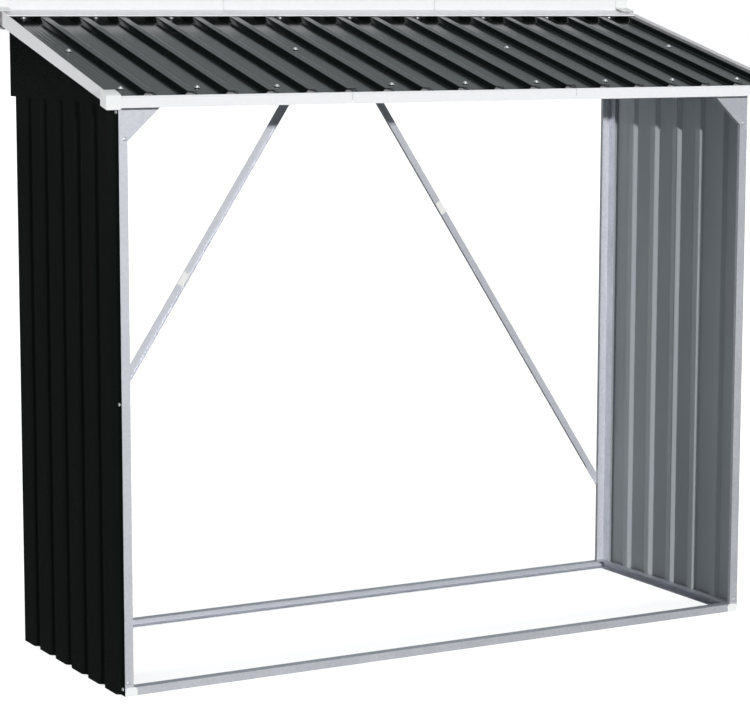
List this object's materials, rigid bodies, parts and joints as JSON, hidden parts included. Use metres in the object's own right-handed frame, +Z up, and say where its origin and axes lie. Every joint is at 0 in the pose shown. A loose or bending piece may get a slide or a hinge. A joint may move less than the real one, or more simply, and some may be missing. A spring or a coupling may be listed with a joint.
{
  "type": "firewood log rack",
  "caption": "Open-fronted log shelter: folded steel frame, ribbed side walls, mono-pitch ribbed roof with edge trims, corner gussets and rear braces.",
  "frame": {"origin": "on the ground below the middle of the overall bounding box", "axes": "+X to the rack's right seen from the front, +Y from the open front to the back, +Z up"},
  "size_m": [1.913, 0.716, 1.6536],
  "materials": {
    "galvanised": "bright galvanised steel, folded from thin sheet",
    "coated_sheet": "glossy anthracite coil coat on thin ribbed steel sheet",
    "white_trim": "satin white coil coat on folded steel",
    "white_plastic": "moulded white plastic",
    "zinc_screw": "zinc plated",
    "label_paper": "blank paper label"
  },
  "bodies": {
    "root": {"base_rail_front": "galvanised", "base_rail_left": "galvanised", "base_rail_rear": "galvanised", "base_rail_right": "galvanised", "brace_bolt_left_foot": "zinc_screw", "brace_bolt_left_head": "zinc_screw", "brace_bolt_right_foot": "zinc_screw", "brace_bolt_right_head": "zinc_screw", "brace_left": "galvanised", "brace_right": "galvanised", "cap_front_left": "white_plastic", "cap_front_right": "white_plastic", "cap_rear_left": "white_plastic", "cap_rear_right": "white_plastic", "fascia_left": "white_trim", "fascia_middle": "white_trim", "fascia_right": "white_trim", "foot_cover_front_left": "white_plastic", "foot_cover_front_right": "white_plastic", "foot_cover_rear_left": "white_plastic", "foot_cover_rear_right": "white_plastic", "foot_screw_left": "zinc_screw", "foot_screw_right": "zinc_screw", "gable_panel_left": "coated_sheet", "gable_panel_right": "coated_sheet", "gusset_left": "galvanised", "gusset_right": "galvanised", "gusset_screw_left": "zinc_screw", "gusset_screw_right": "zinc_screw", "label_left": "label_paper", "label_right": "label_paper", "post_front_left": "galvanised", "post_front_right": "galvanised", "post_rear_left": "galvanised", "post_rear_right": "galvanised", "rake_trim_left": "white_trim", "rake_trim_right": "white_trim", "rear_trim_left": "white_trim", "rear_trim_middle": "white_trim", "rear_trim_right": "white_trim", "roof_purlin": "galvanised", "roof_rail_left": "galvanised", "roof_rail_right": "galvanised", "roof_sheet_1": "coated_sheet", "roof_sheet_2": "coated_sheet", "roof_sheet_3": "coated_sheet", "top_rail_front": "galvanised", "top_rail_rear": "galvanised", "wall_left_front": "coated_sheet", "wall_left_rear": "coated_sheet", "wall_rail_left": "galvanised", "wall_rail_right": "galvanised", "wall_right_front": "coated_sheet", "wall_right_rear": "coated_sheet", "wall_screw_left_high": "zinc_screw", "wall_screw_left_low": "zinc_screw", "wall_screw_left_mid": "zinc_screw", "wall_screw_right_high": "zinc_screw", "wall_screw_right_low": "zinc_screw", "wall_screw_right_mid": "zinc_screw"}
  },
  "joints": []
}
